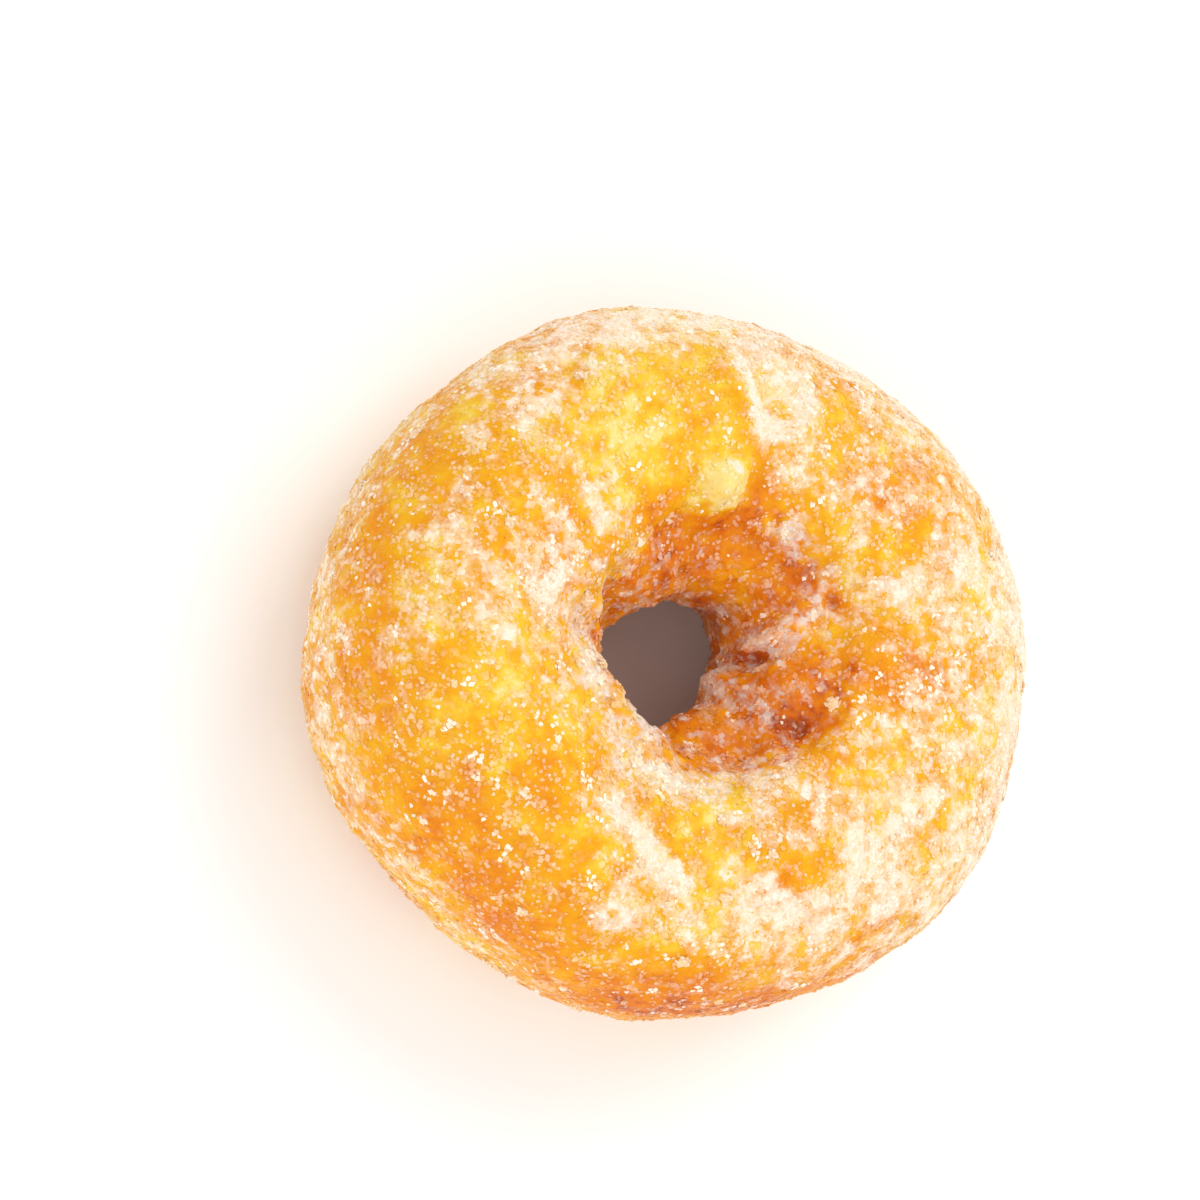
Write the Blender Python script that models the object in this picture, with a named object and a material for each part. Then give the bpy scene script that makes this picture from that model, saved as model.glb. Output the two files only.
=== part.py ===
"""Sugar ring doughnut lying on its back: one ring of fried dough with clumps of sugar stuck to its crust.

Metres, +Z up. The ring stands on z = 0 with its shown face up, and the middle of its box is on the Z axis.
A place on the ring is given by two angles in degrees: round the ring, from +X towards +Y, and round the
tube, where 0 is the outer side, 90 the top, 180 the wall of the hole and 270 the underside.
"""

import math
import random

import bmesh
import bpy
import numpy as np
from mathutils import Euler, Matrix, Vector

MM = 0.001

# Driving dimensions
OUTER_LENGTH = 92.0 * MM
OUTER_WIDTH = 86.4 * MM
THICKNESS = 36.0 * MM
HOLE_WIDTH = 18.6 * MM
HOLE_OFFSET_X = -0.8 * MM
HOLE_OFFSET_Y = 0.2 * MM
FOOT_SAG = 0.8 * MM
OUTER_SQUARENESS = 2.25
INNER_SQUARENESS = 1.95
TUBE_RADIUS = (OUTER_WIDTH - HOLE_WIDTH) / 4
RING_RADIUS = (OUTER_WIDTH + HOLE_WIDTH) / 4

# Mesh of the ring: it is spun as a plain ring of these two radii, and then shaped
RING_STEPS = 90
TUBE_STEPS = 46
PLAIN_RING = 2.0
PLAIN_TUBE = 1.0

# Bulges and flats of the outside, seen from above: angle round the ring, height in millimetres
OUTLINE_WIDTH = 28.0
OUTLINE = [(45, 0.6), (90, 0.75), (135, -0.95), (180, -0.7), (225, -2.2), (270, 0.25), (315, 1.1)]

# The same for the hole, where a positive height makes it wider
HOLE_OUTLINE_WIDTH = 26.0
HOLE_OUTLINE = [(0, -1.2), (45, 1.6), (90, -0.9), (135, -1.4), (225, 1.6), (270, 0.4), (315, -1.6)]

# Relief of the dough: angle round the ring, angle round the tube, reach along the ring and across it
# in millimetres, slant in degrees, height in millimetres
RELIEF = [
    (174, 130, 1.6, 4.5, -20, -1.7),  # pinch in the edge of the hole
    (158, 150, 1.9, 7.5, -25, -1.9),  # the pinch, further down the wall
    (146, 121, 6.0, 3.5, 0, 0.8),  # roll beside the pinch
    (203, 134, 7.0, 3.0, 0, 1.6),  # lip of the hole, near side
    (238, 139, 7.5, 3.8, -8, 3.0),  # end of the lip
    (232, 172, 6.0, 4.0, 0, -1.0),  # wall that falls back under the lip
    (104, 158, 4.5, 5.0, 0, 1.3),  # roll on the far wall of the hole
    (44, 160, 5.0, 5.5, 0, 1.2),  # second roll on the far wall
    (58, 182, 3.6, 5.0, 0, 1.3),  # foot of the second roll
    (84, 136, 11.0, 3.4, 0, -1.3),  # hollow under the far rim
    (40, 128, 7.0, 2.6, 0, -0.8),  # its right end
    (274, 168, 4.4, 5.0, 0, 2.9),  # lump low in the near wall of the hole
    (296, 141, 8.0, 3.0, 0, -1.8),  # scoop between the lump and the rim
    (344, 169, 2.4, 3.0, 0, 2.0),  # ledge at the foot of the ridge
    (15, 147, 1.8, 6.0, 22, 3.2),  # ridge across the right wall of the hole
    (2, 158, 1.3, 3.2, 10, -1.8),  # groove beside the ridge's lower end
    (323, 128, 3.2, 2.8, 0, -2.6),  # hollow below the ridge
    (346, 139, 2.6, 3.2, 0, 1.6),  # lump between them
    (23, 125, 1.5, 1.5, 0, -1.3),  # small pit at the top of the ridge
    (340, 112, 11.0, 2.2, 0, 0.7),  # right rim of the hole
    (290, 116, 12.0, 2.2, 0, 0.7),  # near rim of the hole
    (106, 113, 7.0, 2.2, 0, 0.7),  # far rim of the hole
    (90, 112, 2.7, 2.7, 0, 2.1),  # knob of smooth crust
    (77, 114, 1.5, 5.0, 0, -1.6),  # groove between the knob and the blister
    (77, 77, 3.0, 4.4, 0, -1.4),  # dimple beyond the knob
    (85, 79, 1.1, 4.6, 30, 0.8),  # raised edge of the dimple
    (68, 77, 1.2, 4.6, -28, 0.7),  # its other edge
    (47, 113, 3.2, 3.2, 0, 1.2),  # blister
    (47, 112, 1.3, 1.3, 0, -0.9),  # burst top of the blister
    (15, 92, 0.9, 11.0, -4, -0.55),  # wrinkle from the hole to the rim
    (8, 84, 1.0, 9.0, 3, -0.5),  # second wrinkle
    (23, 78, 1.1, 8.0, -6, -0.45),  # third wrinkle
    (248, 88, 7.5, 1.9, -22, -1.1),  # fold of the near face
    (285, 72, 11.0, 1.8, 0, -0.7),  # fold along the near rim
    (311, 78, 6.5, 1.9, 37, -1.1),  # fold that meets it
    (287, 92, 7.0, 5.0, 0, 0.8),  # pillow between the folds
    (119, 50, 1.8, 1.8, 0, -0.8),  # pit
    (140, 96, 8.0, 6.0, 0, -0.5),  # shallow dip at the far left
    (200, 66, 14.0, 8.0, 10, 0.5),  # swelling of the left face
    (30, 62, 12.0, 6.0, 0, 0.4),  # swelling of the right face
    (60, 225, 7.0, 3.0, 20, -1.1),  # fold of the underside
    (190, 222, 9.0, 3.0, -15, -1.0),  # second fold of the underside
    (320, 315, 9.0, 3.0, 12, -0.8),  # fold low on the outer side
    (120, 322, 8.0, 3.5, -18, -0.8),  # the same, on the far side
    (235, 335, 6.0, 4.0, 0, 0.5),  # swelling low on the outer side
    (255, 205, 4.0, 7.0, 10, -0.7),  # hollow low in the hole
]

# Slow swell of the crust: waves round the ring, waves round the tube, phase, height in millimetres
SWELL = [(2, 1, 0.6, 0.35), (3, -2, 2.0, 0.28), (5, 2, 4.1, 0.22), (7, -3, 1.3, 0.14), (9, 4, 5.2, 0.10)]

# Where sugar lies thick (+) or the crust is bare (-), in the form of RELIEF, with a share in place of a height
SUGAR = [
    (74, 76, 4.5, 4.5, 0, 1.0),  # in the dimple beyond the knob
    (164, 103, 4.0, 4.0, 0, 1.0),  # left of the hole
    (136, 100, 2.0, 4.5, 0, 0.9),  # streak at the far left
    (254, 84, 5.0, 2.2, -35, 1.0),  # along the fold of the near face
    (235, 97, 4.5, 2.6, 0, 0.9),  # upper end of that fold
    (247, 59, 3.5, 2.5, 0, 0.9),  # patch on the near shoulder
    (305, 80, 2.6, 6.5, 0, 1.0),  # across the right end of the near folds
    (283, 72, 8.0, 2.2, 0, 0.7),  # along the fold of the near rim
    (298, 118, 5.0, 2.5, 0, 0.7),  # on the near rim of the hole
    (250, 121, 6.0, 2.0, 0, 0.8),  # on the lip of the hole
    (15, 145, 2.4, 6.5, 22, 0.9),  # along the ridge in the hole
    (19, 88, 2.2, 8.0, 0, 0.6),  # along the wrinkles
    (30, 30, 40.0, 7.0, 0, 0.5),  # right side of the ring
    (213, 50, 14.0, 9.0, 0, -1.0),  # bare crust at the near left
    (236, 48, 8.0, 6.0, 0, -1.0),  # bare crust beside it
    (160, 34, 9.0, 4.0, 0, -0.9),  # bare crust at the far left
    (108, 92, 7.0, 8.0, 0, -0.8),  # bare crust round the knob
    (84, 140, 12.0, 7.0, 0, -0.8),  # bare far wall of the hole
]

# Clumps of sugar
CLUMPS = 98
CLUMP_RADIUS = 0.85 * MM
CLUMP_SPREAD = 0.3
CLUMP_FLATNESS = 0.72
CLUMP_SUNK = 0.25
CLUMP_ROUGHNESS = 0.16
CLUMP_GAP = 2.9 * MM
CLUMP_FLOOR = 2.6 * MM
HOLE_WALL = 45.0
SEED = 11

CRUST_COLOUR = (0.80, 0.36, 0.06, 1.0)
CRUST_ROUGHNESS = 0.6
SHARP_EDGE = math.radians(35)


def turned(angle, centre):
    """The shortest turn from centre to angle, in degrees."""
    return (np.degrees(angle) - centre + 180.0) % 360.0 - 180.0


def lobes(turn, table, width):
    """Height of the bulges in table at each angle round the ring."""
    total = np.zeros_like(turn)
    for centre, height in table:
        total += height * MM * np.exp(-((turned(turn, centre) / width) ** 2))
    return total


def spots(turn, tube, table):
    """Sum of the smooth spots in table, each with its own centre, reach, slant and height."""
    total = np.zeros_like(turn)
    for ring_at, tube_at, length, width, slant, height in table:
        ring_radius = RING_RADIUS + TUBE_RADIUS * math.cos(math.radians(tube_at))
        along = np.radians(turned(turn, ring_at)) * ring_radius
        across = np.radians(turned(tube, tube_at)) * TUBE_RADIUS
        c, s = math.cos(math.radians(slant)), math.sin(math.radians(slant))
        total += height * np.exp(
            -(((along * c + across * s) / (length * MM)) ** 2)
            - ((across * c - along * s) / (width * MM)) ** 2
        )
    return total


def outer_radius(turn):
    """Distance of the outside from the axis."""
    length, width = OUTER_LENGTH / 2, OUTER_WIDTH / 2
    oval = length * width / np.hypot(width * np.cos(turn), length * np.sin(turn))
    return oval + lobes(turn, OUTLINE, OUTLINE_WIDTH)


def hole_radius(turn):
    """Distance of the narrowest part of the hole from the axis."""
    shift = HOLE_OFFSET_X * np.cos(turn) + HOLE_OFFSET_Y * np.sin(turn)
    return HOLE_WIDTH / 2 + shift + lobes(turn, HOLE_OUTLINE, HOLE_OUTLINE_WIDTH)


def rounded(value, squareness):
    """A cosine or sine, drawn towards the corners of its section."""
    return np.sign(value) * np.abs(value) ** (2.0 / squareness)


def swell(turn, tube):
    """Height of the slow waves of the crust."""
    return sum(
        height * np.sin(around * turn + across * tube + phase) for around, across, phase, height in SWELL
    )


def crust(turn, tube):
    """Points of the crust at these angles, as rows of X, Y and Z."""
    outside, inside = outer_radius(turn), hole_radius(turn)
    middle, half = (outside + inside) / 2, (outside - inside) / 2
    squareness = np.where(np.cos(tube) > 0, OUTER_SQUARENESS, INNER_SQUARENESS)
    height = (spots(turn, tube, RELIEF) + swell(turn, tube)) * MM
    reach = middle + half * rounded(np.cos(tube), squareness) + height * np.cos(tube)
    level = THICKNESS / 2 * (1 + rounded(np.sin(tube), squareness)) + height * np.sin(tube) - FOOT_SAG
    return np.stack([reach * np.cos(turn), reach * np.sin(turn), np.maximum(level, 0.0)], axis=-1)


def ring_mesh():
    """A plain ring is spun from a circle, and each of its points is then put on the crust."""
    bm = bmesh.new()
    upright = Matrix.Translation((PLAIN_RING, 0, 0)) @ Matrix.Rotation(math.pi / 2, 4, "X")
    bmesh.ops.create_circle(bm, segments=TUBE_STEPS, radius=PLAIN_TUBE, matrix=upright)
    bmesh.ops.spin(
        bm, geom=bm.edges[:], axis=(0, 0, 1), cent=(0, 0, 0), steps=RING_STEPS, angle=2 * math.pi, use_merge=True
    )
    plain = np.array([v.co for v in bm.verts], float)
    turn = np.arctan2(plain[:, 1], plain[:, 0])
    tube = np.arctan2(plain[:, 2], np.hypot(plain[:, 0], plain[:, 1]) - PLAIN_RING)
    for vertex, point in zip(bm.verts, crust(turn, tube)):
        vertex.co = point
    bmesh.ops.triangulate(bm, faces=bm.faces[:])
    bmesh.ops.recalc_face_normals(bm, faces=bm.faces[:])
    mesh = bpy.data.meshes.new("doughnut")
    bm.to_mesh(mesh)
    bm.free()
    return mesh


def crust_normal(turn, tube):
    """Outward direction of the crust at one place."""
    step = 0.01
    near = crust(np.array([turn, turn + step, turn]), np.array([tube, tube, tube + step]))
    return Vector(near[1] - near[0]).cross(Vector(near[2] - near[0])).normalized()


def clump_places(rng):
    """Scattered places on the crust, more where sugar lies thick, none near the floor or in the hole.

    The hole's wall is kept clear within HOLE_WALL degrees of its middle.
    """
    places = []
    while len(places) < CLUMPS:
        turn, tube, draw = rng.uniform(-math.pi, math.pi), rng.uniform(-math.pi, math.pi), rng.random()
        point = crust(np.array([turn]), np.array([tube]))[0]
        evenly = math.hypot(point[0], point[1]) / (OUTER_LENGTH / 2)
        wanted = evenly * (0.5 + 0.5 * spots(np.array([turn]), np.array([tube]), SUGAR)[0])
        in_hole = abs(turned(tube, 180.0)) < HOLE_WALL
        if draw > wanted or point[2] < CLUMP_FLOOR or in_hole:
            continue
        if all((Vector(point) - near).length > CLUMP_GAP for near, _, _ in places):
            places.append((Vector(point), turn, tube))
    return places


def add_clump(collection, name, place, rng):
    """One clump: a small uneven ball, flattened on the crust and partly sunk in it."""
    point, turn, tube = place
    normal = crust_normal(turn, tube)
    radius = CLUMP_RADIUS * (1 + rng.uniform(-CLUMP_SPREAD, CLUMP_SPREAD))
    bm = bmesh.new()
    bmesh.ops.create_icosphere(bm, subdivisions=1, radius=radius)
    spin = Euler([rng.uniform(0, 2 * math.pi) for _ in range(3)]).to_matrix()
    for vertex in bm.verts:
        vertex.co = (spin @ vertex.co) * (1 + rng.uniform(-CLUMP_ROUGHNESS, CLUMP_ROUGHNESS))
        vertex.co.z *= CLUMP_FLATNESS
    lie = normal.to_track_quat("Z", "Y").to_matrix().to_4x4()
    sunk = point - normal * radius * CLUMP_SUNK
    bmesh.ops.transform(bm, matrix=Matrix.Translation(sunk) @ lie, verts=bm.verts[:])
    mesh = bpy.data.meshes.new(name)
    bm.to_mesh(mesh)
    bm.free()
    collection.objects.link(bpy.data.objects.new(name, mesh))


def fuse(ring, collection):
    """Joins the collection's objects to the ring by one Boolean union, then removes them."""
    union = ring.modifiers.new("sugar", "BOOLEAN")
    union.operation = "UNION"
    union.operand_type = "COLLECTION"
    union.collection = collection
    graph = bpy.context.evaluated_depsgraph_get()
    fused = bpy.data.meshes.new_from_object(ring.evaluated_get(graph))
    ring.modifiers.clear()
    ring.data = fused
    for clump in list(collection.objects):
        bpy.data.objects.remove(clump)
    bpy.data.collections.remove(collection)


def centre_on_axis(mesh):
    """Puts the middle of the mesh's box on the Z axis."""
    points = np.array([v.co for v in mesh.vertices], float)
    middle = (points.min(axis=0) + points.max(axis=0)) / 2
    mesh.transform(Matrix.Translation((-middle[0], -middle[1], 0)))


def crust_material():
    """Golden fried crust under sugar."""
    material = bpy.data.materials.new("sugared_crust")
    material.use_nodes = True
    shader = material.node_tree.nodes["Principled BSDF"]
    shader.inputs["Base Color"].default_value = CRUST_COLOUR
    shader.inputs["Roughness"].default_value = CRUST_ROUGHNESS
    shader.inputs["Metallic"].default_value = 0.0
    return material


def main():
    for obj in list(bpy.data.objects):
        bpy.data.objects.remove(obj)
    rng = random.Random(SEED)
    ring = bpy.data.objects.new("doughnut", ring_mesh())
    bpy.context.scene.collection.objects.link(ring)
    clumps = bpy.data.collections.new("clumps")
    bpy.context.scene.collection.children.link(clumps)
    for number, place in enumerate(clump_places(rng)):
        add_clump(clumps, f"clump_{number}", place, rng)
    fuse(ring, clumps)
    centre_on_axis(ring.data)
    ring.data.materials.clear()
    ring.data.materials.append(crust_material())
    ring.data.shade_smooth()
    ring.data.set_sharp_from_angle(angle=SHARP_EDGE)


main()
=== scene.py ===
"""Looks of the sugar ring doughnut: golden crust, folds, puckered hole and every grain of sugar.

Metres, +Z up. A place on the ring is given by two angles: round the ring, from +X towards +Y, and
round the tube, where 0 is the outer side, 90 the top, 180 the wall of the hole and 270 the
underside. Tables give them in degrees.
"""

import math
import random

import bmesh
import bpy
import numpy as np
from mathutils import Euler, Matrix, Vector, noise


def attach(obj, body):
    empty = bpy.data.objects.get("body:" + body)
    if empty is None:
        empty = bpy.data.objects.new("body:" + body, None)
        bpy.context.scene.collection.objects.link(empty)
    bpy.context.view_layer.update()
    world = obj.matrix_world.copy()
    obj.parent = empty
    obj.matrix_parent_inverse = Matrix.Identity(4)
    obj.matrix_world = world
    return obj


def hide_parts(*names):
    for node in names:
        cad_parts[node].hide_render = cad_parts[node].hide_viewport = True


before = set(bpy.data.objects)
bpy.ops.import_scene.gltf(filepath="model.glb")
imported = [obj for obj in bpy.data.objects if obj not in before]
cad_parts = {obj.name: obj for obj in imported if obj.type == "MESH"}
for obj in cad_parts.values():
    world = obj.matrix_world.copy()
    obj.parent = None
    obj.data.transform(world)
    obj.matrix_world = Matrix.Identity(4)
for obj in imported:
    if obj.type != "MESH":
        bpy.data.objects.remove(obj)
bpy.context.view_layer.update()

MM = 0.001

# Form of the ring
OUTER_LENGTH = 92.0 * MM
OUTER_WIDTH = 86.4 * MM
THICKNESS = 36.0 * MM
HOLE_WIDTH = 18.6 * MM
HOLE_OFFSET_X = -0.8 * MM
HOLE_OFFSET_Y = 0.2 * MM
FOOT_SAG = 0.8 * MM
OUTER_SQUARENESS = 2.25
INNER_SQUARENESS = 1.95
TUBE_RADIUS = (OUTER_WIDTH - HOLE_WIDTH) / 4
RING_RADIUS = (OUTER_WIDTH + HOLE_WIDTH) / 4

# Bulges and flats of the outside, seen from above: angle round the ring, height in millimetres
OUTLINE_WIDTH = 28.0
OUTLINE = [(45, 0.6), (90, 0.75), (135, -0.95), (180, -0.7), (225, -2.2), (270, 0.25), (315, 1.1)]

# The same for the hole, where a positive height makes it wider
HOLE_OUTLINE_WIDTH = 26.0
HOLE_OUTLINE = [(0, -1.2), (45, 1.6), (90, -0.9), (135, -1.4), (225, 1.6), (270, 0.4), (315, -1.6)]

# Relief of the dough: angle round the ring, angle round the tube, reach along the ring and across
# it in millimetres, slant in degrees, height in millimetres
RELIEF = [
    (174, 130, 1.6, 4.5, -20, -1.7),  # pinch in the edge of the hole
    (158, 150, 1.9, 7.5, -25, -1.9),  # the pinch, further down the wall
    (146, 121, 6.0, 3.5, 0, 0.8),  # roll beside the pinch
    (203, 134, 7.0, 3.0, 0, 1.6),  # lip of the hole, near side
    (238, 139, 7.5, 3.8, -8, 3.0),  # end of the lip
    (232, 172, 6.0, 4.0, 0, -1.0),  # wall that falls back under the lip
    (104, 158, 4.5, 5.0, 0, 1.3),  # roll on the far wall of the hole
    (44, 160, 5.0, 5.5, 0, 1.2),  # second roll on the far wall
    (58, 182, 3.6, 5.0, 0, 1.3),  # foot of the second roll
    (84, 136, 11.0, 3.4, 0, -1.3),  # hollow under the far rim
    (40, 128, 7.0, 2.6, 0, -0.8),  # its right end
    (274, 168, 4.4, 5.0, 0, 2.9),  # lump low in the near wall of the hole
    (296, 141, 8.0, 3.0, 0, -1.8),  # scoop between the lump and the rim
    (344, 169, 2.4, 3.0, 0, 2.0),  # ledge at the foot of the ridge
    (15, 147, 1.8, 6.0, 22, 3.2),  # ridge across the right wall of the hole
    (2, 158, 1.3, 3.2, 10, -1.8),  # groove beside the ridge's lower end
    (323, 128, 3.2, 2.8, 0, -2.6),  # hollow below the ridge
    (346, 139, 2.6, 3.2, 0, 1.6),  # lump between them
    (23, 125, 1.5, 1.5, 0, -1.3),  # small pit at the top of the ridge
    (340, 112, 11.0, 2.2, 0, 0.7),  # right rim of the hole
    (290, 116, 12.0, 2.2, 0, 0.7),  # near rim of the hole
    (106, 113, 7.0, 2.2, 0, 0.7),  # far rim of the hole
    (90, 112, 2.7, 2.7, 0, 2.1),  # knob of smooth crust
    (77, 114, 1.5, 5.0, 0, -1.6),  # groove between the knob and the blister
    (77, 77, 3.0, 4.4, 0, -1.4),  # dimple beyond the knob
    (85, 79, 1.1, 4.6, 30, 0.8),  # raised edge of the dimple
    (68, 77, 1.2, 4.6, -28, 0.7),  # its other edge
    (47, 113, 3.2, 3.2, 0, 1.2),  # blister
    (47, 112, 1.3, 1.3, 0, -0.9),  # burst top of the blister
    (15, 92, 0.9, 11.0, -4, -0.55),  # wrinkle from the hole to the rim
    (8, 84, 1.0, 9.0, 3, -0.5),  # second wrinkle
    (23, 78, 1.1, 8.0, -6, -0.45),  # third wrinkle
    (248, 88, 7.5, 1.9, -22, -1.1),  # fold of the near face
    (285, 72, 11.0, 1.8, 0, -0.7),  # fold along the near rim
    (311, 78, 6.5, 1.9, 37, -1.1),  # fold that meets it
    (287, 92, 7.0, 5.0, 0, 0.8),  # pillow between the folds
    (119, 50, 1.8, 1.8, 0, -0.8),  # pit
    (140, 96, 8.0, 6.0, 0, -0.5),  # shallow dip at the far left
    (200, 66, 14.0, 8.0, 10, 0.5),  # swelling of the left face
    (30, 62, 12.0, 6.0, 0, 0.4),  # swelling of the right face
    (60, 225, 7.0, 3.0, 20, -1.1),  # fold of the underside
    (190, 222, 9.0, 3.0, -15, -1.0),  # second fold of the underside
    (320, 315, 9.0, 3.0, 12, -0.8),  # fold low on the outer side
    (120, 322, 8.0, 3.5, -18, -0.8),  # the same, on the far side
    (235, 335, 6.0, 4.0, 0, 0.5),  # swelling low on the outer side
    (255, 205, 4.0, 7.0, 10, -0.7),  # hollow low in the hole
]

# Slight creases and bulges, which are too low for the solid, in the form of RELIEF
FINE_RELIEF = [
    (90.5, 112, 2.3, 2.3, 0, 0.5),  # middle of the knob
    (101.5, 112, 1.3, 2.4, 0, -0.5),  # crease left of the knob
    (90, 101.5, 2.2, 0.8, 0, -0.3),  # crease beyond the knob
    (84, 73, 1.0, 4.0, 10, 0.25),  # left edge of the dimple
    (348, 119, 0.8, 4.0, -10, -0.3),  # crease in the right edge of the hole
    (121, 117, 0.8, 3.0, 15, -0.3),  # crease in its far edge
    (260, 126, 0.9, 3.0, 20, -0.3),  # crease in its lip
]

# Slow swell of the crust: waves round the ring, waves round the tube, phase, height in millimetres
SWELL = [
    (2, 1, 0.6, 0.35),
    (3, -2, 2.0, 0.28),
    (5, 2, 4.1, 0.22),
    (7, -3, 1.3, 0.14),
    (9, 4, 5.2, 0.10),
]

# Large patches where sugar lies thick (+) or the crust is bare (-), in the form of RELIEF, with a
# share in place of a height. The clumps follow these.
SUGAR = [
    (74, 76, 4.5, 4.5, 0, 1.0),  # in the dimple beyond the knob
    (164, 103, 4.0, 4.0, 0, 1.0),  # left of the hole
    (136, 100, 2.0, 4.5, 0, 0.9),  # streak at the far left
    (254, 84, 5.0, 2.2, -35, 1.0),  # along the fold of the near face
    (235, 97, 4.5, 2.6, 0, 0.9),  # upper end of that fold
    (247, 59, 3.5, 2.5, 0, 0.9),  # patch on the near shoulder
    (305, 80, 2.6, 6.5, 0, 1.0),  # across the right end of the near folds
    (283, 72, 8.0, 2.2, 0, 0.7),  # along the fold of the near rim
    (298, 118, 5.0, 2.5, 0, 0.7),  # on the near rim of the hole
    (250, 121, 6.0, 2.0, 0, 0.8),  # on the lip of the hole
    (15, 145, 2.4, 6.5, 22, 0.9),  # along the ridge in the hole
    (19, 88, 2.2, 8.0, 0, 0.6),  # along the wrinkles
    (30, 30, 40.0, 7.0, 0, 0.5),  # right side of the ring
    (213, 50, 14.0, 9.0, 0, -1.0),  # bare crust at the near left
    (236, 48, 8.0, 6.0, 0, -1.0),  # bare crust beside it
    (160, 34, 9.0, 4.0, 0, -0.9),  # bare crust at the far left
    (108, 92, 7.0, 8.0, 0, -0.8),  # bare crust round the knob
    (84, 140, 12.0, 7.0, 0, -0.8),  # bare far wall of the hole
]

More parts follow.
